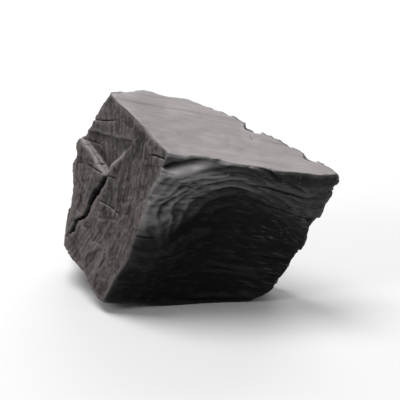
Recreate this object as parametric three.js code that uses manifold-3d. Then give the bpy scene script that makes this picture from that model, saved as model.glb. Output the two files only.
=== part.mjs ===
// A lump of hardwood charcoal, broken out of a larger charred log. It is one solid piece.
// Millimetres, +Z up. The lump lies on a small flat spot. Its origin is the middle of its footprint, on the
// surface that it lies on, with +X to the tapered end and -Y to the hollowed front.
// The fibres run along the lump, close to X, and fall a little to +X. The log's pith lies behind the lump,
// so the growth rings are arcs about a line at its back.

import * as THREE from "three";
import { mergeVertices } from "three/addons/utils/BufferGeometryUtils.js";
import Module from "manifold-3d";

const wasm = await Module();
wasm.setup();

// The wood
const GRAIN = new THREE.Vector3(1, 0, -0.2).normalize(); // the way the fibres run
const PITH = new THREE.Vector3(0, 95, 35); // a point on the log's centre line
const RING = 2.2; // one year's growth, on average
const HARD_EDGE = 0.8; // the share of a ring's width at which its hard edge stands

// Edges that the cuts leave shorter than this are closed up
const FINEST = 0.04;

// How far a face is drawn before the other faces cut it off, and how far the solid behind it reaches
const REACH = 112;
const BACKING = 250;

// The part of the log that the rings are drawn over, as radii and as degrees each side of straight ahead
const RINGS_FROM = 22;
const RINGS_TO = 134;
const RINGS_SPREAD = 64;
const RING_STEP_DEG = 3.6;

// The fracture faces. Each one looks a way, passes through a point, and broke in one of three ways, with a
// slow `roll`. A split follows the fibres and leaves long flat splinters, with `widths` from and to, whose
// levels differ by `step`. A snap crosses the fibres, and each ring stands `step` proud. A shell leaves the
// hollow below.
const split = (looks, through, broke) => ({ kind: "split", looks, through, ...broke });
const snap = (looks, through, broke) => ({ kind: "snap", looks, through, ...broke });
const shell = (looks, through, broke) => ({ kind: "shell", looks, through, ...broke });

const FACES = {
  top: split([0.195, -0.098, 0.976], [0, 0, 76], { widths: [6, 22], step: 0.3, roll: 0.7 }),
  front: shell([0.095, -0.993, -0.07], [-13.5, -14, 77], { roll: 0.9 }),
  frontLeft: split([-0.4, -0.91, 0.1], [-14.5, -14.2, 77], { widths: [3, 11], step: 0.45, roll: 0.8 }),
  frontRight: split([0.4, -0.88, -0.25], [50, -9, 64], { widths: [2.5, 5], step: 1.1, roll: 1.4 }),
  frontBelow: split([0.1, -0.8, -0.59], [0, -9, 18], { widths: [3, 8], step: 1, roll: 1.6 }),
  left: snap([-0.825, -0.5, 0.264], [-13.5, -14, 77.3], { step: 0.45, roll: 1 }),
  flank: snap([-0.985, 0.05, 0.1], [-57.5, 29.5, 32], { step: 0.6, roll: 1.6 }),
  leftBelow: snap([-0.72, -0.15, -0.68], [-60, 25, 18], { step: 0.8, roll: 2 }),
  right: snap([0.9, -0.1, -0.42], [57, -5, 60.5], { step: 0.8, roll: 2.2 }),
  rightBelow: snap([0.6, 0, -0.8], [34, 10, 9], { step: 0.8, roll: 1.8 }),
  backRight: split([0.634, 0.767, 0.1], [30, 20, 60], { widths: [3, 8], step: 1.4, roll: 1.8 }),
  back: split([0.05, 0.93, 0.36], [-27, 42.6, 85.7], { widths: [4, 10], step: 1.3, roll: 2 }),
  backLeft: split([-0.5, 0.7, 0.51], [-34, 37, 86.5], { widths: [4, 9], step: 1.2, roll: 1.4 }),
  underBack: split([0.1, 0.1, -0.99], [8, 36, 0], { widths: [3, 9], step: 0.5, roll: 0.7 }),
  underFront: split([-0.12, -0.1, -0.985], [-24, 16, 0], { widths: [3, 9], step: 0.5, roll: 0.7 }),
  backBelow: split([0, 0.78, -0.62], [0, 62, 20], { widths: [4, 9], step: 1.1, roll: 1.8 }),
};

// A fixed scatter: the same pair of whole numbers and seed always gives the same value, from -1 to 1.
function scatter(i, j, seed) {
  const mixed = Math.sin(i * 127.1 + j * 311.7 + seed * 74.7) * 43758.5453;
  return 2 * (mixed - Math.floor(mixed)) - 1;
}

// The scatter, smoothed between whole numbers
function swell(x, y, seed) {
  const i = Math.floor(x);
  const j = Math.floor(y);
  const ease = (t) => t * t * (3 - 2 * t);
  const a = ease(x - i);
  const b = ease(y - j);
  const low = scatter(i, j, seed) * (1 - a) + scatter(i + 1, j, seed) * a;
  const high = scatter(i, j + 1, seed) * (1 - a) + scatter(i + 1, j + 1, seed) * a;
  return low * (1 - b) + high * b;
}

// A closed geometry as a solid that can be cut, with its faces turned to point out
function solidOf(geometry) {
  const bare = new THREE.BufferGeometry();
  const source = geometry.index ? geometry.toNonIndexed() : geometry;
  bare.setAttribute("position", source.getAttribute("position").clone());
  const merged = mergeVertices(bare, 1e-4);
  const corners = Array.from(merged.index.array);
  const build = (index) =>
    new wasm.Manifold(
      new wasm.Mesh({
        numProp: 3,
        vertProperties: new Float32Array(merged.attributes.position.array),
        triVerts: new Uint32Array(index),
      }),
    );
  const made = build(corners);
  return made.volume() > 0 ? made : build(corners.reverse());
}

// The solid that lies behind a grid of surface points
function behind(rows, depth) {
  const tall = rows.length;
  const across = rows[0].length;
  const points = [...rows.flat(), ...rows.flat().map((p) => p.clone().add(depth))];
  const at = (i, j, back) => (back ? tall * across : 0) + i * across + j;
  const index = [];
  const quad = (a, b, c, d) => index.push(a, b, c, a, c, d);
  for (let i = 0; i + 1 < tall; i++)
    for (let j = 0; j + 1 < across; j++) {
      quad(at(i, j, false), at(i + 1, j, false), at(i + 1, j + 1, false), at(i, j + 1, false));
      quad(at(i, j, true), at(i, j + 1, true), at(i + 1, j + 1, true), at(i + 1, j, true));
    }
  for (let i = 0; i + 1 < tall; i++) {
    quad(at(i, 0, false), at(i, 0, true), at(i + 1, 0, true), at(i + 1, 0, false));
    const j = across - 1;
    quad(at(i, j, false), at(i + 1, j, false), at(i + 1, j, true), at(i, j, true));
  }
  for (let j = 0; j + 1 < across; j++) {
    quad(at(0, j, false), at(0, j + 1, false), at(0, j + 1, true), at(0, j, true));
    const i = tall - 1;
    quad(at(i, j, false), at(i, j, true), at(i, j + 1, true), at(i, j + 1, false));
  }
  const geometry = new THREE.BufferGeometry().setFromPoints(points);
  geometry.setIndex(index);
  return solidOf(geometry);
}

// The solid that lies behind rings of surface points, the first of which are all one point
function behindRings(rings, depth) {
  const around = rings[0].length;
  const points = [...rings.flat(), ...rings.flat().map((p) => p.clone().add(depth))];
  const at = (i, j, back) => (back ? rings.length * around : 0) + i * around + (j % around);
  const index = [];
  const quad = (a, b, c, d) => index.push(a, b, c, a, c, d);
  for (let j = 0; j < around; j++) {
    for (let i = 0; i + 1 < rings.length; i++)
      if (i === 0) index.push(at(0, 0, false), at(1, j, false), at(1, j + 1, false));
      else quad(at(i, j, false), at(i + 1, j, false), at(i + 1, j + 1, false), at(i, j + 1, false));
    const last = rings.length - 1;
    quad(at(last, j, false), at(last, j, true), at(last, j + 1, true), at(last, j + 1, false));
    index.push(at(0, 0, true), at(last, j + 1, true), at(last, j, true));
  }
  const geometry = new THREE.BufferGeometry().setFromPoints(points);
  geometry.setIndex(index);
  return solidOf(geometry);
}

// The frame of a face: the way it looks, along it with the fibres, across it, and a point on it near the
// middle of the lump.
function frameOf(face) {
  const looks = new THREE.Vector3(...face.looks).normalize();
  const along = GRAIN.clone().addScaledVector(looks, -GRAIN.dot(looks)).normalize();
  const across = looks.clone().cross(along);
  const through = new THREE.Vector3(...face.through);
  const middle = new THREE.Vector3(0, 20, 40);
  middle.addScaledVector(looks, through.clone().sub(middle).dot(looks));
  return { looks, along, across, middle };
}

// A face split along the fibres: long flat splinters side by side, each at its own level
function splitFace(face, seed) {
  const { looks, along, across, middle } = frameOf(face);
  const ledge = 0.4;
  const rowGap = 11;
  const [narrow, wide] = face.widths;
  const edges = [];
  for (let from = -REACH, k = 0; from < REACH; k++) {
    const width = narrow + (wide - narrow) * (0.5 + 0.5 * scatter(k, 1, seed));
    edges.push({ at: from + ledge / 2, k }, { at: from + width - ledge / 2, k });
    from += width;
  }
  const rows = [];
  for (let i = 0; i * rowGap <= 2 * REACH; i++) {
    const s = i * rowGap - REACH + 2 * scatter(i, 5, seed);
    rows.push(
      edges.map(({ at, k }, j) => {
        const level = 0.6 * scatter(k, 2, seed) + 0.6 * swell(k * 0.9 + 7, s / 24, seed);
        const roll = face.roll * swell(at / 26, s / 38, seed + 9);
        const height = face.step * (level + 0.25 * scatter(j, i, seed)) + roll;
        const sway = 0.8 * swell(s / 16, k * 0.4, seed + 4);
        return middle
          .clone()
          .addScaledVector(along, s)
          .addScaledVector(across, at + sway)
          .addScaledVector(looks, height);
      }),
    );
  }
  return behind(rows, looks.clone().multiplyScalar(-BACKING));
}

// The rings, each as the radius where it starts and the radius of its hard edge
function ringRadii() {
  const radii = [];
  for (let from = RINGS_FROM, k = 0; from < RINGS_TO; k++) {
    const width = RING * (1 + 0.4 * scatter(k, 0, 5));
    radii.push(from, from + HARD_EDGE * width);
    from += width;
  }
  return radii;
}

// A face snapped across the fibres: each growth ring rises to its hard edge and drops to the next one
function snapFace(face, seed) {
  const { looks, middle } = frameOf(face);
  const outward = Math.sign(GRAIN.dot(looks));
  const ahead = new THREE.Vector3(0, -1, 0).addScaledVector(GRAIN, GRAIN.y).normalize();
  const up = GRAIN.clone().cross(ahead);
  const grid = ringRadii().map((radius, k) => {
    const ring = [];
    for (let turn = -RINGS_SPREAD; turn <= RINGS_SPREAD; turn += RING_STEP_DEG) {
      const angle = THREE.MathUtils.degToRad(turn + 0.31 * seed);
      const arc = angle * 85;
      const broad = face.roll * swell(arc / 17, radius / 17, seed);
      const blocks = (0.8 * face.roll * Math.round(2.5 * swell(arc / 11 + 3, radius / 8, seed + 3))) / 2.5;
      const strength = 0.55 + 0.45 * scatter(k, 4, 6);
      const rise = k % 2 ? face.step * strength * (0.6 + 0.6 * swell(arc / 7, k, seed + 6)) : 0;
      const bent = radius + 0.7 * swell(arc / 20, radius / 30, 71);
      const p = PITH.clone()
        .addScaledVector(ahead, bent * Math.cos(angle))
        .addScaledVector(up, bent * Math.sin(angle));
      const run = middle.clone().sub(p).dot(looks) / GRAIN.dot(looks);
      ring.push(p.addScaledVector(GRAIN, run + outward * (broad + blocks + rise)));
    }
    return ring;
  });
  return behind(grid, GRAIN.clone().multiplyScalar(-outward * BACKING));
}

// The front broke as a shell does: a hollow with ledges round it, at these distances from its middle. It is
// drawn out by `stretch` along the fibres. The ledges are sharpest at its upper left, under the lip, and
// towards its open side, below, it comes up by only part of its depth. Directions over the face are degrees
// from +X.
const HOLLOW = {
  at: [13, -11, 39],
  depth: 12,
  rim: 35.5,
  stretch: 1.3,
  openAt: 288,
  openRise: 0.1,
  ledges: [7, 12, 16.5, 21, 25, 28.5, 32, 35.5, 45, 56, 70, 88, REACH],
  ledge: 0.95,
  lip: 2,
  ledgeWidth: 1.1,
  sharpestAt: 110,
  spokes: 48,
  wander: 0.13,
};

function shellFace(face, seed) {
  const { looks, along, across } = frameOf(face);
  const through = new THREE.Vector3(...face.through);
  const centre = new THREE.Vector3(...HOLLOW.at);
  centre.addScaledVector(looks, through.clone().sub(centre).dot(looks));
  const pointAt = (distance, k, i, ledge) => {
    const angle = (i / HOLLOW.spokes) * 2 * Math.PI;
    const x = Math.cos(angle);
    const y = Math.sin(angle);
    const wander = 1 + HOLLOW.wander * swell(2.1 * x + 5, 2.1 * y + 5 + k * 0.35, seed);
    const out = distance * wander * (1 + 0.015 * scatter(i, k, seed + 1));
    const risen = THREE.MathUtils.smootherstep(distance, 0, HOLLOW.rim);
    const towards = (degrees) => Math.cos(angle - THREE.MathUtils.degToRad(degrees));
    const open = THREE.MathUtils.smoothstep(towards(HOLLOW.openAt), 0.2, 0.85);
    const side = 1 - (1 - HOLLOW.openRise) * open;
    const facing = (0.5 + 0.5 * towards(HOLLOW.sharpestAt)) ** 2;
    const broken = 0.55 + 0.75 * swell(3 * x + 9, 3 * y + 9 + k * 1.7, seed + 3);
    const rough = face.roll * swell((out * x) / 13 + 20, (out * y) / 8 + 20, seed + 2);
    const fading = 0.45 * Math.min(1, 18 / (distance + 1));
    const splinter = fading * swell((out * x) / 5 + 40, (out * y) / 2.3 + 40, seed + 5);
    const height = HOLLOW.depth * (risen * side - 1) + ledge * facing * broken + rough + splinter;
    return centre
      .clone()
      .addScaledVector(along, out * x * HOLLOW.stretch)
      .addScaledVector(across, out * y)
      .addScaledVector(looks, height);
  };
  const rings = HOLLOW.ledges.flatMap((distance, k) => {
    const ledge = distance === HOLLOW.rim ? HOLLOW.lip : HOLLOW.ledge;
    return [-1, 1].map((part) => {
      const edge = distance + (part * HOLLOW.ledgeWidth) / 2;
      return Array.from({ length: HOLLOW.spokes }, (_, i) => pointAt(edge, k, i, part * ledge));
    });
  });
  const floor = Array(HOLLOW.spokes).fill(pointAt(0, 0, 0, 0));
  return behindRings([floor, ...rings], looks.clone().multiplyScalar(-BACKING));
}

// Cracks. Each runs on a face from one point to another, opens to `width` and goes in by `depth`. The last
// is a shallow split under the front edge of the top, whose lower side catches the light.
const CRACKS = [
  { on: "left", from: [-39, 17, 62], to: [-58, 31, 20], width: 2.6, depth: 13, bends: 9, jag: 1.1 },
  { on: "left", from: [-38, 2, 36], to: [-44, 8, 8], width: 1, depth: 5, bends: 6, jag: 0.8 },
  { on: "top", from: [21, 26, 74], to: [25, 6, 72], width: 0.8, depth: 4, bends: 5, jag: 0.9 },
  { on: "back", from: [-22, 50, 84], to: [-28, 70, 16], width: 1.8, depth: 9, bends: 10, jag: 1.8 },
  { on: "back", from: [8, 50, 78], to: [2, 72, 12], width: 1.4, depth: 8, bends: 10, jag: 1.6 },
  { on: "backRight", from: [24, 28, 76], to: [30, 34, 16], width: 1.3, depth: 7, bends: 8, jag: 1.4 },
  { on: "flank", from: [-45, 46, 76], to: [-60, 50, 16], width: 1.3, depth: 7, bends: 8, jag: 1.2 },
  { on: "front", from: [-19, -14, 71], to: [13, -14, 73.6], width: 7.2, depth: 3.8, bends: 9, jag: 0.3 },
];

function crack({ on, from, to, width, depth, bends, jag }, seed) {
  const { looks, middle } = frameOf(FACES[on]);
  const dropped = (corner) => {
    const p = new THREE.Vector3(...corner);
    return p.addScaledVector(looks, middle.clone().sub(p).dot(looks));
  };
  const start = dropped(from);
  const end = dropped(to);
  const run = end.clone().sub(start).normalize();
  const side = looks.clone().cross(run);
  const proud = 5;
  const points = [];
  for (let i = 0; i <= bends; i++) {
    const t = i / bends;
    const open = (width / 2) * Math.sqrt(Math.max(0.02, Math.sin(Math.PI * (0.06 + 0.88 * t))));
    const down = depth * (0.35 + 0.65 * Math.sin(Math.PI * t));
    const mid = start.clone().lerp(end, t).addScaledVector(side, jag * 2 * scatter(i, 3, seed));
    const mouth = open * (1 + proud / depth);
    points.push(
      mid.clone().addScaledVector(looks, proud).addScaledVector(side, mouth),
      mid.clone().addScaledVector(looks, proud).addScaledVector(side, -mouth),
      mid.clone().addScaledVector(looks, -down),
    );
  }
  const index = [0, 1, 2];
  for (let i = 0; i < bends; i++)
    for (let c = 0; c < 3; c++) {
      const a = i * 3 + c;
      const b = i * 3 + ((c + 1) % 3);
      index.push(a, a + 3, b + 3, a, b + 3, b);
    }
  const last = bends * 3;
  index.push(last, last + 2, last + 1);
  const geometry = new THREE.BufferGeometry().setFromPoints(points);
  geometry.setIndex(index);
  return solidOf(geometry);
}

// A flake has come off the left face. Its two lower edges meet in a V, which the light catches, and the place
// that it left fades out towards the top.
const FLAKE = {
  corner: [-41.5, 20.5, 54.6],
  rightArm: [-29, 9, 75],
  leftArm: [-55, 47, 66],
  depth: 2.6,
  tilt: 0.12,
};

function flake() {
  const { looks } = frameOf(FACES.left);
  const corner = new THREE.Vector3(...FLAKE.corner);
  const outside = 14;
  const inside = 6;
  const rim = [FLAKE.corner, FLAKE.rightArm, FLAKE.leftArm].map((p) => {
    const q = new THREE.Vector3(...p);
    return q.addScaledVector(looks, corner.clone().sub(q).dot(looks));
  });
  const points = [
    ...rim.map((p) => p.clone().addScaledVector(looks, -inside)),
    ...rim.map((p) => p.clone().addScaledVector(looks, outside)),
  ];
  const geometry = new THREE.BufferGeometry().setFromPoints(points);
  geometry.setIndex([0, 2, 1, 3, 4, 5, 0, 1, 4, 0, 4, 3, 1, 2, 5, 1, 5, 4, 2, 0, 3, 2, 3, 5]);
  const through = corner.addScaledVector(looks, -FLAKE.depth);
  const lowered = looks.clone().add(new THREE.Vector3(0, 0, -FLAKE.tilt));
  const left = snapFace({ ...FACES.left, looks: lowered.toArray(), through: through.toArray() }, 17);
  return solidOf(geometry).subtract(left);
}

// Chips knocked off the edges: shallow shell-shaped bites, each a flattened ball of `size` turned by `turn`
const CHIPS = [
  { at: [23, 25.5, 76.5], size: [5, 6, 5], turn: [0.3, 0.2, 0.7] },
  { at: [49, 8, 70], size: [7, 5, 4], turn: [0.1, -0.4, 0.9] },
  { at: [61, -9, 64], size: [5, 6, 7], turn: [0.6, 0.5, 0.2] },
  { at: [-10, 47, 86], size: [13, 6, 6], turn: [0.4, 0.2, 0.1] },
  { at: [53, 2, 40], size: [6, 8, 9], turn: [0.2, 0.6, 0.3] },
  { at: [-68, 34, 22], size: [7, 9, 8], turn: [0.5, 0.2, 0.4] },
  { at: [-60, 60, 50], size: [8, 8, 14], turn: [0.2, 0.3, 0.6] },
  { at: [24, 58, 36], size: [9, 8, 12], turn: [0.3, 0.2, 0.5] },
  { at: [34, -12, 20], size: [10, 6, 8], turn: [0.5, 0.1, 0.3] },
];

function chip({ at, size, turn }, seed) {
  const ball = new THREE.IcosahedronGeometry(1, 1);
  const position = ball.getAttribute("position");
  for (let i = 0; i < position.count; i++) {
    const p = new THREE.Vector3().fromBufferAttribute(position, i);
    const uneven = 1 + 0.16 * swell(p.x * 2 + 9, p.y * 2 + p.z * 3 + 9, seed);
    position.setXYZ(i, p.x * uneven * size[0], p.y * uneven * size[1], p.z * uneven * size[2]);
  }
  ball.applyMatrix4(new THREE.Matrix4().makeRotationFromEuler(new THREE.Euler(...turn)).setPosition(...at));
  return solidOf(ball);
}

// The flat spot that the lump lies on
function aboveGround() {
  const rows = [-1, 1].map((x) => [1, -1].map((y) => new THREE.Vector3(x * REACH, y * REACH, 0)));
  return behind(rows, new THREE.Vector3(0, 0, BACKING));
}

// The triangles of the largest connected piece. Crumbs that the cuts leave loose along an edge drop off.
function largestPiece(index, count) {
  const owner = Array.from({ length: count }, (_, i) => i);
  const rootOf = (i) => {
    while (owner[i] !== i) i = owner[i] = owner[owner[i]];
    return i;
  };
  for (let t = 0; t < index.length; t += 3) {
    owner[rootOf(index[t])] = rootOf(index[t + 1]);
    owner[rootOf(index[t])] = rootOf(index[t + 2]);
  }
  const share = new Map();
  index.forEach((i) => share.set(rootOf(i), (share.get(rootOf(i)) ?? 0) + 1));
  const [largest] = [...share].sort((a, b) => b[1] - a[1])[0];
  return index.filter((i) => rootOf(i) === largest);
}

// Closes up the edges shorter than FINEST, wherever the surface stays closed and no triangle turns over.
function closeShortEdges(points, index) {
  const faces = [];
  for (let t = 0; t < index.length; t += 3) faces.push([index[t], index[t + 1], index[t + 2]]);
  const touching = points.map(() => new Set());
  faces.forEach((face, f) => face.forEach((v) => touching[v].add(f)));
  const around = (v) => new Set([...touching[v]].flatMap((f) => faces[f]).filter((w) => w !== v));
  const normalOf = (face) => {
    const [a, b, c] = face.map((v) => points[v]);
    return b.clone().sub(a).cross(c.clone().sub(a)).normalize();
  };
  const close = (keep, drop) => {
    const ring = around(keep);
    const shared = [...around(drop)].filter((v) => ring.has(v));
    const between = [...touching[drop]].filter((f) => touching[keep].has(f));
    if (shared.length !== 2 || between.length !== 2) return false;
    const moved = [...touching[drop]].filter((f) => !between.includes(f));
    const after = moved.map((f) => faces[f].map((v) => (v === drop ? keep : v)));
    if (moved.some((f, n) => normalOf(faces[f]).dot(normalOf(after[n])) < 0.3)) return false;
    between.forEach((f) => {
      faces[f].forEach((v) => touching[v].delete(f));
      faces[f] = null;
    });
    moved.forEach((f, n) => {
      faces[f] = after[n];
      touching[keep].add(f);
    });
    touching[drop].clear();
    return true;
  };
  for (let again = true; again; ) {
    again = false;
    for (let f = 0; f < faces.length; f++)
      for (let c = 0; c < 3 && faces[f]; c++) {
        const a = faces[f][c];
        const b = faces[f][(c + 1) % 3];
        if (points[a].distanceTo(points[b]) < FINEST && (close(a, b) || close(b, a))) again = true;
      }
  }
  return faces.filter(Boolean).flat();
}

const MAKERS = { split: splitFace, snap: snapFace, shell: shellFace };

function lumpGeometry() {
  let lump = aboveGround();
  Object.values(FACES).forEach((face, n) => {
    lump = lump.intersect(MAKERS[face.kind](face, n + 1));
  });
  lump = lump.subtract(flake());
  CHIPS.forEach((one, n) => {
    lump = lump.subtract(chip(one, 40 + n));
  });
  CRACKS.forEach((one, n) => {
    lump = lump.subtract(crack(one, 60 + n));
  });
  const mesh = lump.getMesh();
  const points = [];
  for (let i = 0; i < mesh.numVert; i++)
    points.push(new THREE.Vector3().fromArray(mesh.vertProperties, i * mesh.numProp));
  const geometry = new THREE.BufferGeometry().setFromPoints(points);
  const whole = closeShortEdges(points, Array.from(mesh.triVerts));
  geometry.setIndex(largestPiece(whole, points.length));
  geometry.computeBoundingBox();
  const { min, max } = geometry.boundingBox;
  geometry.translate(-(min.x + max.x) / 2, -(min.y + max.y) / 2, -min.z);
  return geometry;
}

const charcoal = new THREE.MeshStandardMaterial({ color: 0x2e2b2a, roughness: 0.72, metalness: 0 });
const lump = new THREE.Mesh(lumpGeometry(), charcoal);
lump.name = "charcoal_lump";

const part = new THREE.Group();
part.name = "charcoal_lump_part";
part.add(lump);

export default part;
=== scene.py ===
"""The looks of a lump of hardwood charcoal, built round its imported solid.

The solid is turned into a field of distances. The wear of charred wood is worked into the field, in
directions that follow the wood, and the surface is drawn again from it. Sizes are in millimetres until
the mesh is made, and in metres from there on.
"""

import math

import bpy
import numpy as np
import openvdb
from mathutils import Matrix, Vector


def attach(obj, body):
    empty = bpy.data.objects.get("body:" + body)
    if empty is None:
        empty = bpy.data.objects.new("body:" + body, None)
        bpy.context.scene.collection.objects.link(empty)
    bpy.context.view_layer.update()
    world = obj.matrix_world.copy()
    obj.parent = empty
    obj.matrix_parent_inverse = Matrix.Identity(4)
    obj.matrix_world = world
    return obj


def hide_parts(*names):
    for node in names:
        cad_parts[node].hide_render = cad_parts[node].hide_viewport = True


MM = 0.001
NODE = "charcoal_lump"

# The wood: how steeply its fibres fall to the right, the way they run, a point on the log's centre line,
# the radius at which arcs round that line are measured, and the gap between rings
FALL = 0.2
GRAIN = np.array([1.0, 0.0, -FALL]) / math.hypot(1.0, FALL)
PITH = np.array([0.25, 68.0, 35.0])
ARC_RADIUS = 85
RING = 2.2

# Each pair of numbers below that goes to `step` says where the step is 0 and where it is 1

# The pale split face at the top, pale partly with ash and partly with painted sheen: the way it looks, a
# point on it, how far over its plane a surface has to lie to belong to it, and how squarely it has to
# look the same way to be spared from wear and to be pale
TOP = np.array([0.195, -0.098, 0.976])
TOP_AT = np.array([0.25, -27.0, 76.0])
TOP_HEIGHT = (-9, -5)
SPARED = (0.75, 0.95)
PALE = (0.8, 0.95)

# The hollowed front face, as it would be without its hollow, and how squarely a surface has to look the
# same way to belong to it
FRONT = np.array([0.095, -0.993, -0.07])
FRONT_AT = np.array([-13.25, -41.0, 77.0])
FRONT_FACING = (0.55, 0.85)

# How far a surface has to turn across the fibres to be end grain
END_FACING = (0.45, 0.75)

# The left face, and the V that a flake has left on it, whose edges get painted highlights: the ends of
# its two arms, with its corner between, the width of its lines, and how squarely a surface has to look to
# the left to show them
LEFT = np.array([-0.825, -0.5, 0.264])
VEE = np.array([[-51.3, 13.2, 63.0], [-41.25, -6.5, 54.6], [-33.5, -13.6, 67.2]])
VEE_WIDTH = 1.2
VEE_FACING = (0.2, 0.5)

# The pale line of painted highlight on the lower side of the split under the lip, its width, and where it
# comes and goes from left to right
SLIVER = np.array([[-13.5, -39.5, 68.6], [1.0, -39.5, 71.0], [10.0, -39.5, 72.8]])
SLIVER_WIDTH = 1.3
SLIVER_COMES = (-15, -12)
SLIVER_GOES = (-4, 9)

# How far in front of or behind such a line the surface may lie and still be on it
LINE_REACH = 4

# The painted shadow under the lip: how far below the top face it comes and goes
LIP_COMES = (0.6, 1.6)
LIP_GOES = (4.5, 7)

# The front darkens towards the right end; painted shade darkens it towards the floor and with its depth
# behind the face, and painted light on its open part fades with that depth
TAIL = (5, 35)
LOW = (48, 34)
DARK = (4.5, 13)
LIGHT_FADES = (3, 11)

# The field: the size of its voxels, how far from the solid it holds true, how far from the solid it is
# worn, and how many voxels are kept free round the solid
VOXEL = 0.42
BAND = 6.5
REACH = 3.0
MARGIN = 6
MOST_TRIANGLES = 190000

# The radii over which the field is averaged to find the lie of the faces, and to find rims and furrows
FACE_BLUR = 1.4
FURROW_BLUR = 1.1

# How far each kind of wear goes
SPLINTERS = 0.62
FINE_SPLINTERS = 0.32
FIBRES = 0.20
SHEETS = 0.5
RINGS = 0.24
CHIPS = 0.34
FINE_CHIPS = 0.18
PORES = 0.12
LUMPS = 0.35
FINE_LUMPS = 0.08
EDGES = 0.1
CRUMBS = 0.4

# Shrinkage cracks: how deep each kind goes, the gap between its lines, their half width and their sway
RAYS = (1.4, 13.0, 0.42, 2.0)
CHECKS = (1.4, 17.0, 0.5, 1.8)
SPLITS = (1.1, 7.5, 0.36, 2.0)

# The smooth top face has only so much of these
TOP_SPLINTERS = 0.04
TOP_FIBRES = 0.02
TOP_SHEETS = 0.03

# Wear sets in between these heights, so that the flat spot on the floor stays flat
CLEAR_OF_FLOOR = (0.2, 2.5)

# How far an edge has to stand out to be sharp, and to break off
SHARP = (0.12, 0.7)
LONGEST_FIN = 0.95

# The left of the front is worn smooth, up to just under the lip
SMOOTH_X = (-4, -16)
SMOOTH_Z = (72, 64)

# The lattice of random values behind all the noise
LATTICE = 64
VALUES = np.random.default_rng(11).uniform(-1, 1, (LATTICE,) * 3).astype(np.float32)

# Chips: how far their middles stray, how far they differ in level, and how far they lean
CHIP_STRAY = 0.45
CHIP_LEVEL = 0.7
CHIP_LEAN = 0.6

# The charcoal's gloss, and how deep its fibres look, in metres
GLOSS = 0.09
FIBRE_BUMP = 0.0003

# The studio, in metres: what the lamps and the camera aim at, and each lamp's place, side and power
MIDDLE = Vector((0.0, 0.0, 0.04))
LAMPS = {
    "above": ((-0.35, 0.1, 1.2), 0.7, 18),
    "behind": ((0.2, 1.1, 0.75), 0.8, 9),
    "left": ((-1.1, -0.7, 0.8), 0.5, 7),
}
SKY = 0.4
FLOOR_HALF = 6.0
FLOOR_GREY = 0.55

# The camera: how far it looks down, in degrees, how far away it is, and the width that it sees there
ELEVATION = 22
DISTANCE = 1.6
SEEN_WIDTH = 0.175
SENSOR_WIDTH = 36
NEAREST = 0.01


def noise(x, y, z, seed):
    """Smooth noise from -1 to 1 that changes over a distance of about 1."""
    offset = np.random.default_rng(seed).uniform(0, LATTICE, 3)
    corners = []
    weights = []
    for values, shift in zip((x, y, z), offset):
        moved = values + np.float32(shift)
        low = np.floor(moved)
        share = (moved - low).astype(np.float32)
        low = low.astype(np.int32)
        eased = share * share * (3 - 2 * share)
        corners.append((low & (LATTICE - 1), (low + 1) & (LATTICE - 1)))
        weights.append((1 - eased, eased))
    total = np.zeros(np.shape(x), np.float32)
    for i, j, k in np.ndindex(2, 2, 2):
        weight = weights[0][i] * weights[1][j] * weights[2][k]
        total += VALUES[corners[0][i], corners[1][j], corners[2][k]] * weight
    return total


def cells(x, y, seed):
    """Flat chips with sharp borders, about 1 across.

    The result is a height from about -1 to 1 that leans its own way in each chip.
    """
    at_x = np.floor(x)
    at_y = np.floor(y)
    farther_than_any = 9
    nearest = np.full(np.shape(x), farther_than_any, np.float32)
    height = np.zeros(np.shape(x), np.float32)
    layers = [(seed * 7 + n) % LATTICE for n in range(5)]
    for dx, dy in np.ndindex(3, 3):
        cell_x = at_x + (dx - 1)
        cell_y = at_y + (dy - 1)
        i = cell_x.astype(np.int32) & (LATTICE - 1)
        j = cell_y.astype(np.int32) & (LATTICE - 1)
        stray_x, stray_y, level, lean_x, lean_y = (VALUES[i, j, layer] for layer in layers)
        east = x - (cell_x + 0.5 + CHIP_STRAY * stray_x)
        north = y - (cell_y + 0.5 + CHIP_STRAY * stray_y)
        distance = east * east + north * north
        closer = distance < nearest
        lean = lean_x * east + lean_y * north
        height = np.where(closer, CHIP_LEVEL * level + CHIP_LEAN * lean, height)
        nearest = np.where(closer, distance, nearest)
    return height


def step(value, low, high):
    """0 at low, 1 at high, smooth between and level outside."""
    share = np.clip((value - low) / (high - low), 0, 1)
    return share * share * (3 - 2 * share)


def lines(place, gap, width):
    """1 on evenly spaced lines and 0 off them, with the number of the nearest line."""
    number = np.round(place / gap)
    return np.clip(1 - np.abs(place - number * gap) / width, 0, 1), number


def unit(slopes):
    """Directions of length 1 from their three parts."""
    directions = np.stack(slopes, 1)
    return directions / (np.linalg.norm(directions, axis=1)[:, None] + 1e-9)


def in_voxels(length):
    return max(1, round(length / VOXEL))


def blurred(field, radius):
    """The field averaged over boxes of that radius in voxels, twice."""
    result = field
    width = 2 * radius + 1
    for _ in range(2):
        for axis in range(3):
            count = field.shape[axis]
            before = np.repeat(result.take([0], axis), radius + 1, axis)
            after = np.repeat(result.take([-1], axis), radius, axis)
            padded = np.concatenate([before, result, after], axis)
            sums = np.cumsum(padded, axis, dtype=np.float64)
            high = sums.take(range(width, width + count), axis)
            low = sums.take(range(0, count), axis)
            result = ((high - low) / width).astype(np.float32)
    return result


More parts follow.
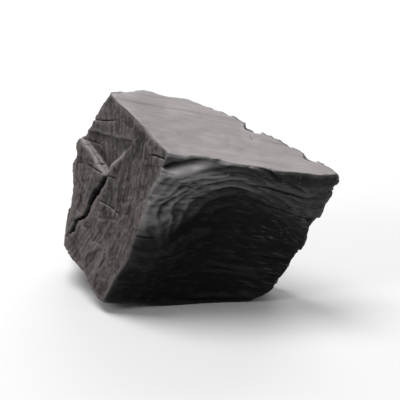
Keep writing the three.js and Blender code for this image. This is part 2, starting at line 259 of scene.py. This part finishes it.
class Field:
    """Distances to the solid on a grid, in millimetres, negative inside."""

    def __init__(self, points, triangles):
        grid = openvdb.FloatGrid.createLevelSetFromPolygons(
            points.astype(np.float32),
            triangles=triangles.astype(np.uint32),
            transform=openvdb.createLinearTransform(VOXEL),
            halfWidth=BAND / VOXEL,
        )
        self.low = np.floor(points.min(0) / VOXEL).astype(int) - MARGIN
        high = np.ceil(points.max(0) / VOXEL).astype(int) + MARGIN
        self.values = np.zeros(high - self.low, np.float32)
        grid.copyToArray(self.values, ijk=tuple(int(v) for v in self.low))

    def surface(self):
        """The points and triangles of the surface where the field is 0."""
        grid = openvdb.FloatGrid(background=BAND)
        grid.transform = openvdb.createLinearTransform(VOXEL)
        grid.copyFromArray(self.values, ijk=tuple(int(v) for v in self.low))
        points, triangles, quads = grid.convertToPolygons(isovalue=0.0, adaptivity=0.0)
        quads = quads.astype(np.int64)
        halves = np.concatenate([quads[:, [0, 1, 2]], quads[:, [0, 2, 3]]])
        return points.astype(np.float64), np.concatenate([triangles.astype(np.int64), halves])

    def at(self, values, points):
        """What values on this field's grid are at points, between its voxels."""
        place = points / VOXEL - self.low
        low = np.clip(np.floor(place).astype(int), 0, np.array(values.shape) - 2)
        share = place - low
        total = np.zeros(len(points))
        for corner in np.ndindex(2, 2, 2):
            weight = np.ones(len(points))
            for axis, far in enumerate(corner):
                weight = weight * (share[:, axis] if far else 1 - share[:, axis])
            i, j, k = (low + corner).T
            total += weight * values[i, j, k]
        return total


def in_wood(points):
    """Where points are in the wood: along the fibres, out from the pith, and round it."""
    arm = points - PITH
    along = arm @ GRAIN
    arm = arm - along[:, None] * GRAIN
    out = np.linalg.norm(arm, axis=1)
    arc = np.arctan2(arm[:, 2], -arm[:, 1]) * ARC_RADIUS
    return tuple(v.astype(np.float32) for v in (along, out, arc))


def on_end_grain(normals):
    """1 on faces across the fibres and 0 on faces along them."""
    return step(np.abs(normals @ GRAIN), *END_FACING)


def on_top(points, normals, facing):
    """1 on the pale top face and 0 off it. `facing` says how squarely a surface has to look its way."""
    return step(normals @ TOP, *facing) * step((points - TOP_AT) @ TOP, *TOP_HEIGHT)


def on_front(normals):
    """1 on faces that look to the front and 0 on the others."""
    return step(normals @ FRONT, *FRONT_FACING)


class Places:
    """Points near the surface, and what their wear depends on."""

    def __init__(self, points, normals, fin):
        self.x, self.y, self.z = (points[:, i].astype(np.float32) for i in range(3))
        self.s, self.r, self.t = in_wood(points)
        self.end = on_end_grain(normals).astype(np.float32)
        self.top = on_top(points, normals, SPARED).astype(np.float32)
        self.front = on_front(normals).astype(np.float32)
        # How far a thin edge stands out, and 1 where an edge is sharp
        self.fin = fin
        self.edge = step(fin, *SHARP).astype(np.float32)
        self.side = 1 - self.end
        self.calm = 1 - 0.85 * self.top

    def wood_noise(self, length, depth, width, seed):
        """Noise in patches, long along the fibres, deep across the rings and wide round them."""
        return noise(self.s / length, self.r / depth, self.t / width, seed)

    def even_noise(self, size, seed):
        """Noise in patches of that size, whichever way the wood runs."""
        return noise(self.x / size, self.y / size, self.z / size, seed)


def wear_faces(p, worn):
    """Adds the wear of the split faces, of the end grain, and of both.

    The last number in each call of a noise or of cells is its seed.
    """
    rugged = p.side * p.calm * (1 - 0.5 * p.front)

    # Splinters, long along the fibres, stand at their own levels
    across = p.t + 0.8 * p.r + 1.3 * p.wood_noise(30, 9, 9, 17)
    worn += (SPLINTERS * rugged + TOP_SPLINTERS * p.top) * cells(p.s / 30, across / 4.2, 1)
    worn += FINE_SPLINTERS * rugged * cells(p.s / 15, across / 1.9, 2)
    worn += (FIBRES * p.side * p.calm + TOP_FIBRES * p.top) * p.wood_noise(14, 0.95, 0.95, 2)

    # Here and there the faces that run with the rings break away in thin sheets
    ring = (p.r / RING + 0.4 * p.wood_noise(30, 12, 14, 4)) % 1
    sheet = step(p.wood_noise(16, 7, 8, 5), -0.3, 0.6)
    worn += ((SHEETS - 0.2 * p.front) * p.side * p.calm + TOP_SHEETS * p.top) * (0.5 - ring) * sheet

    # End grain has rings, small broken blocks and pores
    worn += RINGS * p.end * (0.5 - ring) * (0.4 + 0.6 * sheet)
    worn += CHIPS * p.end * cells(p.r / 6.5, p.t / 7.5, 3)
    worn += FINE_CHIPS * p.end * cells(p.r / 2.4, p.t / 3.0, 4)
    worn += PORES * p.end * p.wood_noise(4, 0.9, 0.9, 7)

    # Lumps and pits don't follow the wood
    worn += LUMPS * p.calm * p.even_noise(8, 8)
    worn += FINE_LUMPS * p.calm * p.even_noise(2.2, 9)


def wear_cracks(p, worn):
    """Adds the shrinkage cracks, each kind open only here and there along its lines."""
    # Rays, on the end grain
    depth, gap, width, sway = RAYS
    ray, number = lines(p.t + sway * p.wood_noise(22, 16, 30, 10), gap, width)
    open_here = step(noise(p.s / 14, p.r / 22, number * 3.7, 11), 0.0, 0.4)
    worn += depth * p.end * open_here * ray

    # Checks, across the fibres of the split faces
    depth, gap, width, sway = CHECKS
    check, number = lines(p.s + sway * p.wood_noise(30, 12, 12, 12), gap, width)
    open_here = step(noise(number * 5.1, p.r / 10, p.t / 14, 13), 0.25, 0.6)
    worn += depth * p.side * (1 - p.top) * (1 - p.front) * open_here * check

    # Splits, along the fibres
    depth, gap, width, sway = SPLITS
    split, number = lines(p.t + sway * p.wood_noise(26, 8, 30, 14), gap, width)
    open_here = step(noise(p.s / 18, p.r / 9, number * 2.9, 15), 0.15, 0.5)
    worn += depth * p.side * p.calm * open_here * split


def wear_edges(p, worn):
    """Adds the wear of what stands out.

    Edges crumble, thin fins break off, and the left of the front is worn smooth.
    """
    worn += p.edge * (EDGES + CRUMBS * p.even_noise(2.6, 16)) * (1 - 0.4 * p.top)
    worn += 1.2 * np.clip(p.fin - LONGEST_FIN, 0, 3)
    worn += p.front * (0.15 + 0.45 * step(p.x, *SMOOTH_X)) * p.fin * step(p.z, *SMOOTH_Z)


def weathered(points, triangles):
    """Wears the solid.

    The result is the worn field, the solid's own field smoothed, and the worn surface's points and
    triangles.
    """
    field = Field(points, triangles)
    smooth = blurred(field.values, in_voxels(FACE_BLUR))
    near = np.nonzero(np.abs(field.values) < REACH)
    voxels = (np.stack(near, 1) + field.low) * VOXEL
    normals = unit([np.gradient(smooth, axis=axis)[near] for axis in range(3)])
    places = Places(voxels, normals, smooth[near] - field.values[near])
    worn = np.zeros(len(voxels), np.float32)
    wear_faces(places, worn)
    wear_cracks(places, worn)
    wear_edges(places, worn)
    field.values[near] += worn * step(voxels[:, 2], *CLEAR_OF_FLOOR)
    drawn, faces = field.surface()
    return field, smooth, drawn, faces


def near_line(points, line, looks, width):
    """1 on a line of corners, fading to 0 over about `width` to each side, as seen along `looks`."""
    nearest = np.full(len(points), 1e3)
    for start, stop in zip(line[:-1], line[1:]):
        run = stop - start
        run = run - (run @ looks) * looks
        arm = points - start
        depth = arm @ looks
        arm = arm - depth[:, None] * looks
        share = np.clip(arm @ run / (run @ run), 0, 1)
        aside = np.linalg.norm(arm - share[:, None] * run, axis=1)
        nearest = np.minimum(nearest, aside + np.maximum(np.abs(depth) - LINE_REACH, 0))
    return np.exp(-((nearest / width) ** 2))


def finish(field, smooth, where):
    """What the material needs to know at each point of the surface.

    `hollow` runs from -1 on rims to 1 in furrows, and all the others from 0 to 1.
    """
    cavity = field.at(blurred(field.values, in_voxels(FURROW_BLUR)), where)
    normals = unit([field.at(np.gradient(smooth, axis=axis), where) for axis in range(3)])
    front = on_front(normals)
    x = where[:, 0]
    z = where[:, 2]
    below_top = (TOP_AT - where) @ TOP
    # Painted shade and light: the further back and the lower in the hollow, the darker the front is
    # painted
    back = -((where - FRONT_AT) @ FRONT) + 0.12 * (55 - z)
    tail = step(x, *TAIL)
    low = step(z, *LOW)
    dark = step(back, *DARK) * (1 - 0.4 * tail) + 0.85 * low
    light = (1 - step(back, *LIGHT_FADES)) * (1 - 0.8 * tail) * (1 - low)
    lip = step(below_top, *LIP_COMES) * (1 - step(below_top, *LIP_GOES))
    sliver_here = step(x, *SLIVER_COMES) * (1 - step(x, *SLIVER_GOES))
    return {
        "hollow": np.clip(-cavity / 0.4, -1, 1),
        "end": on_end_grain(normals),
        "top": on_top(where, normals, PALE),
        "deep": np.clip(dark, 0, 1) * front,
        "front_light": light * front,
        "tail": tail * front,
        "lip_shadow": lip * front,
        "sliver_highlight": near_line(where, SLIVER, FRONT, SLIVER_WIDTH) * sliver_here,
        "vee_highlight": near_line(where, VEE, LEFT, VEE_WIDTH) * step(normals @ LEFT, *VEE_FACING),
    }


def points_of(mesh):
    """A mesh's points, one to a row."""
    flat = np.empty(len(mesh.vertices) * 3)
    mesh.vertices.foreach_get("co", flat)
    return flat.reshape(-1, 3)


def corners_of(elements, count):
    """The point numbers of a mesh's edges or triangles, one edge or triangle to a row."""
    flat = np.empty(len(elements) * count, np.int64)
    elements.foreach_get("vertices", flat)
    return flat.reshape(-1, count)


def new_mesh(points, triangles):
    mesh = bpy.data.meshes.new("charcoal")
    mesh.from_pydata(points.tolist(), [], triangles.tolist())
    return mesh


def thin_out(obj):
    """Merges triangles where they say least, down to MOST_TRIANGLES at most."""
    total = len(obj.data.polygons)
    if total <= MOST_TRIANGLES:
        return
    thin = obj.modifiers.new("thin", "DECIMATE")
    thin.ratio = MOST_TRIANGLES / total
    bpy.context.view_layer.update()
    graph = bpy.context.evaluated_depsgraph_get()
    thinned = bpy.data.meshes.new_from_object(obj.evaluated_get(graph))
    obj.modifiers.clear()
    obj.data = thinned


def keep_only_largest(obj):
    """Drops crumbs that the wear has cut loose."""
    mesh = obj.data
    starts, stops = corners_of(mesh.edges, 2).T
    # Points that an edge joins take the lower of their labels, until each piece has one label
    label = np.arange(len(mesh.vertices))
    while True:
        lower = np.minimum(label[starts], label[stops])
        fresh = label.copy()
        np.minimum.at(fresh, starts, lower)
        np.minimum.at(fresh, stops, lower)
        fresh = fresh[fresh]
        if (fresh == label).all():
            break
        label = fresh
    names, sizes = np.unique(label, return_counts=True)
    keep = label == names[sizes.argmax()]
    if keep.all():
        return
    triangles = corners_of(mesh.polygons, 3)
    triangles = triangles[keep[triangles].all(1)]
    new_number = np.cumsum(keep) - 1
    obj.data = new_mesh(points_of(mesh)[keep], new_number[triangles])


def lump_object(solid):
    """The worn lump as an object, with its finish on its points."""
    solid.calc_loop_triangles()
    points = points_of(solid) / MM
    field, smooth, drawn, faces = weathered(points, corners_of(solid.loop_triangles, 3))

    mesh = new_mesh(drawn * MM, faces)
    mesh.validate()
    obj = bpy.data.objects.new("charcoal", mesh)
    bpy.context.scene.collection.objects.link(obj)
    thin_out(obj)
    keep_only_largest(obj)

    mesh = obj.data
    for name, values in finish(field, smooth, points_of(mesh) / MM).items():
        attribute = mesh.attributes.new(name, "FLOAT", "POINT")
        attribute.data.foreach_set("value", values.astype(np.float32))
    for polygon in mesh.polygons:
        polygon.use_smooth = True
    return obj


class Nodes:
    """A short way to write a node tree."""

    def __init__(self, tree):
        self.tree = tree
        tree.nodes.clear()

    def feed(self, socket, value):
        """Links a socket to another one, or sets it to a value."""
        if isinstance(value, bpy.types.NodeSocket):
            self.tree.links.new(value, socket)
        else:
            socket.default_value = value

    def add(self, kind, inputs=None, **settings):
        node = self.tree.nodes.new(kind)
        for name, value in settings.items():
            setattr(node, name, value)
        for name, value in (inputs or {}).items():
            self.feed(node.inputs[name], value)
        return node

    def attribute(self, name):
        return self.add("ShaderNodeAttribute", attribute_name=name).outputs["Fac"]

    def mapped(self, vector, **settings):
        return self.add("ShaderNodeMapping", {"Vector": vector, **settings}).outputs[0]

    def noise(self, vector, scale, detail):
        inputs = {"Vector": vector, "Scale": scale, "Detail": detail}
        return self.add("ShaderNodeTexNoise", inputs).outputs[0]

    def ramp(self, value, low, high):
        """0 at low and 1 at high."""
        inputs = {"Value": value, "From Min": low, "From Max": high}
        return self.add("ShaderNodeMapRange", inputs).outputs[0]

    def math(self, operation, a, b, c=0.0):
        return self.add("ShaderNodeMath", {0: a, 1: b, 2: c}, operation=operation).outputs[0]

    def times(self, a, b):
        return self.math("MULTIPLY", a, b)

    def plus(self, a, b):
        return self.math("ADD", a, b)

    def without(self, a):
        """1 where a is 0, and the other way round."""
        return self.math("SUBTRACT", 1.0, a)

    def mix(self, share, a, b):
        """Colour a where the share is 0 and b where it is 1."""
        node = self.add("ShaderNodeMix", data_type="RGBA")
        values = {"Factor_Float": share, "A_Color": a, "B_Color": b}
        for socket in node.inputs:
            if socket.identifier in values:
                self.feed(socket, values[socket.identifier])
        return next(s for s in node.outputs if s.identifier == "Result_Color")

    def coats(self, colour, rows):
        """A colour under coats, each given as where it lies, how strong it is and its own colour."""
        for place, strength, coat in rows:
            colour = self.mix(self.times(place, strength), colour, coat)
        return colour


def grey(level, warm=0.0):
    """A near-grey of that linear level, a little to the red if warm."""
    return (level * (1 + warm), level, level * (1 - 0.2 * warm), 1.0)


def charcoal_material():
    """Charred wood: dark, brownish where fibres are cut, pale on the top face, black in the hollow.

    The top is pale with ash and with painted sheen, and the black in the hollow is painted shade.
    """
    material = bpy.data.materials.new("charcoal")
    material.use_nodes = True
    n = Nodes(material.node_tree)

    # Noises. Their scales are in patches to a metre, along the axes of what they are mapped to.
    where = n.add("ShaderNodeTexCoord").outputs["Object"]
    turned = n.mapped(where, Rotation=(0.0, -math.atan(FALL), 0.0))
    fibre = n.noise(n.mapped(turned, Scale=(90.0, 900.0, 900.0)), 1.0, 3.0)
    streak = n.noise(n.mapped(turned, Scale=(22.0, 260.0, 260.0)), 1.0, 4.0)
    mottle = n.noise(n.mapped(where, Scale=(170.0, 170.0, 60.0)), 1.0, 3.0)
    patch = n.noise(where, 90.0, 5.0)
    speck = n.noise(where, 900.0, 2.0)
    smudge = n.noise(where, 26.0, 3.0)

    hollow = n.attribute("hollow")
    end = n.attribute("end")
    top = n.attribute("top")
    deep = n.attribute("deep")
    front_light = n.attribute("front_light")
    tail = n.attribute("tail")
    lip_shadow = n.attribute("lip_shadow")
    sliver_highlight = n.attribute("sliver_highlight")
    vee_highlight = n.attribute("vee_highlight")
    normal = n.add("ShaderNodeNewGeometry").outputs["Normal"]
    upward = n.add("ShaderNodeSeparateXYZ", {"Vector": normal}).outputs["Z"]
    # Rims get painted highlights and furrows painted shade
    rim_highlight = n.ramp(hollow, -0.05, -0.5)
    furrow_shade = n.ramp(hollow, 0.05, 0.5)

    # Dust lies in patches on what looks up; ledges that look up and what stands out are lighter as well,
    # partly dust and partly painted highlight
    settled = n.times(n.ramp(upward, 0.1, 0.8), n.ramp(patch, 0.38, 0.62))
    dust_and_ledge_light = n.plus(n.times(settled, 0.35), n.times(n.ramp(hollow, 0.0, -0.6), 0.25))
    dust_and_ledge_light = n.plus(dust_and_ledge_light, n.times(n.ramp(upward, 0.55, 0.95), 0.7))

    # The split faces, the end grain, and the top face, pale with ash and painted sheen, with what is worn
    # or dusty on it and painted highlights on what is raised
    body = n.mix(n.ramp(streak, 0.35, 0.65), grey(0.018, 0.05), grey(0.042, 0.05))
    cut = n.mix(n.ramp(patch, 0.38, 0.62), grey(0.018, 0.28), grey(0.036, 0.2))
    cut = n.coats(cut, [(n.ramp(mottle, 0.44, 0.60), 0.75, grey(0.062, 0.19))])
    pale = n.mix(n.ramp(streak, 0.3, 0.7), grey(0.162, 0.09), grey(0.19, 0.09))
    pale = n.coats(
        pale,
        [
            (n.ramp(smudge, 0.42, 0.68), 0.55, grey(0.098, 0.09)),
            (n.ramp(patch, 0.5, 0.62), 0.35, grey(0.225, 0.08)),
            # Painted highlights on what stands out of the top
            (n.ramp(hollow, -0.3, -0.9), 0.6, grey(0.3, 0.05)),
        ],
    )
    colour = n.coats(
        n.mix(end, body, cut),
        [
            (n.ramp(smudge, 0.42, 0.62), 0.45, grey(0.012, 0.1)),
            (top, 1.0, pale),
            # Painted light on the open part of the front, and on all but the top the dust, partly painted
            # highlight on ledges and on what stands out
            (front_light, 0.68, grey(0.108, 0.03)),
            (n.times(dust_and_ledge_light, n.without(top)), 1.0, grey(0.12, 0.07)),
            # Painted highlights on rims, and painted shade in furrows
            (n.times(front_light, rim_highlight), 0.6, grey(0.19, 0.03)),
            (n.times(end, rim_highlight), 0.3, grey(0.1, 0.19)),
            (n.times(front_light, furrow_shade), 0.6, grey(0.008)),
            (n.ramp(hollow, 0.0, 0.9), 0.7, grey(0.004)),
            # The painted shadow under the lip, the painted highlight in it,
            # and the painted highlights on the edges of the V
            (lip_shadow, 0.75, grey(0.008)),
            (sliver_highlight, 1.0, grey(0.4, 0.04)),
            (vee_highlight, 0.9, grey(0.19, 0.08)),
            # Painted shade in the hollow with painted highlights on its rims,
            # and the dark right end with painted glints
            (deep, 0.92, grey(0.002)),
            (n.times(deep, rim_highlight), 0.4, grey(0.022)),
            (tail, 0.45, grey(0.008)),
            # Painted glints on the fibres of the right end
            (n.times(n.ramp(fibre, 0.56, 0.68), tail), 0.35, grey(0.11, 0.02)),
            # Specks of dust, but not in the hollow
            (n.times(n.ramp(speck, 0.64, 0.72), n.without(deep)), 0.3, grey(0.16, 0.02)),
        ],
    )

    rough = n.math("MULTIPLY_ADD", n.ramp(fibre, 0.3, 0.7), 0.2, 0.45)
    rough = n.math("MULTIPLY_ADD", deep, 0.15, rough)
    strength = n.math("MULTIPLY_ADD", top, -0.4, 0.6)
    bump = n.add("ShaderNodeBump", {"Height": fibre, "Strength": strength, "Distance": FIBRE_BUMP})
    shader = n.add(
        "ShaderNodeBsdfPrincipled",
        {
            "Base Color": colour,
            "Roughness": rough,
            "Normal": bump.outputs[0],
            "Specular IOR Level": GLOSS,
        },
    )
    n.add("ShaderNodeOutputMaterial", {"Surface": shader.outputs[0]})
    return material


def floor_material():
    material = bpy.data.materials.new("floor")
    material.use_nodes = True
    n = Nodes(material.node_tree)
    shader = n.add("ShaderNodeBsdfPrincipled", {"Base Color": grey(FLOOR_GREY), "Roughness": 0.9})
    n.add("ShaderNodeOutputMaterial", {"Surface": shader.outputs[0]})
    return material


def floor():
    corners = [(-1, -1), (1, -1), (1, 1), (-1, 1)]
    mesh = bpy.data.meshes.new("floor")
    mesh.from_pydata([(x * FLOOR_HALF, y * FLOOR_HALF, 0) for x, y in corners], [], [(0, 1, 2, 3)])
    mesh.materials.append(floor_material())
    obj = bpy.data.objects.new("floor", mesh)
    bpy.context.scene.collection.objects.link(obj)


def aimed(name, data, place):
    """A lamp or a camera at a place, aimed at the lump."""
    obj = bpy.data.objects.new(name, data)
    obj.location = place
    obj.rotation_euler = (MIDDLE - obj.location).to_track_quat("-Z", "Y").to_euler()
    bpy.context.scene.collection.objects.link(obj)
    return obj


def studio():
    scene = bpy.context.scene
    world = bpy.data.worlds.new("studio")
    world.use_nodes = True
    background = world.node_tree.nodes["Background"]
    background.inputs["Color"].default_value = (1, 1, 1, 1)
    background.inputs["Strength"].default_value = SKY
    scene.world = world
    for name, (place, side, power) in LAMPS.items():
        data = bpy.data.lights.new(name, "AREA")
        data.shape = "SQUARE"
        data.size = side
        data.energy = power
        aimed(name, data, place)
    scene.view_settings.view_transform = "Standard"
    scene.view_settings.look = "None"


def camera():
    elevation = math.radians(ELEVATION)
    data = bpy.data.cameras.new("camera")
    data.sensor_width = SENSOR_WIDTH
    data.lens = SENSOR_WIDTH * DISTANCE / SEEN_WIDTH
    data.clip_start = NEAREST
    place = MIDDLE + DISTANCE * Vector((0, -math.cos(elevation), math.sin(elevation)))
    bpy.context.scene.camera = aimed("camera", data, place)


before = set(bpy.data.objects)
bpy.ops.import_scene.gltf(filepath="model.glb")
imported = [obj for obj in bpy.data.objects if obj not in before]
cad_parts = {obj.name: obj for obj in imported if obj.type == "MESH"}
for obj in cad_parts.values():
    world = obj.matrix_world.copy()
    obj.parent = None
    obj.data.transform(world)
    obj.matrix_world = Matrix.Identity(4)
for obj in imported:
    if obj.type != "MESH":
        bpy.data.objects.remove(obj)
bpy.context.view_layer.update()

lump = lump_object(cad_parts[NODE].data)
lump.data.materials.append(charcoal_material())
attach(lump, "root")
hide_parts(NODE)

floor()
studio()
camera()
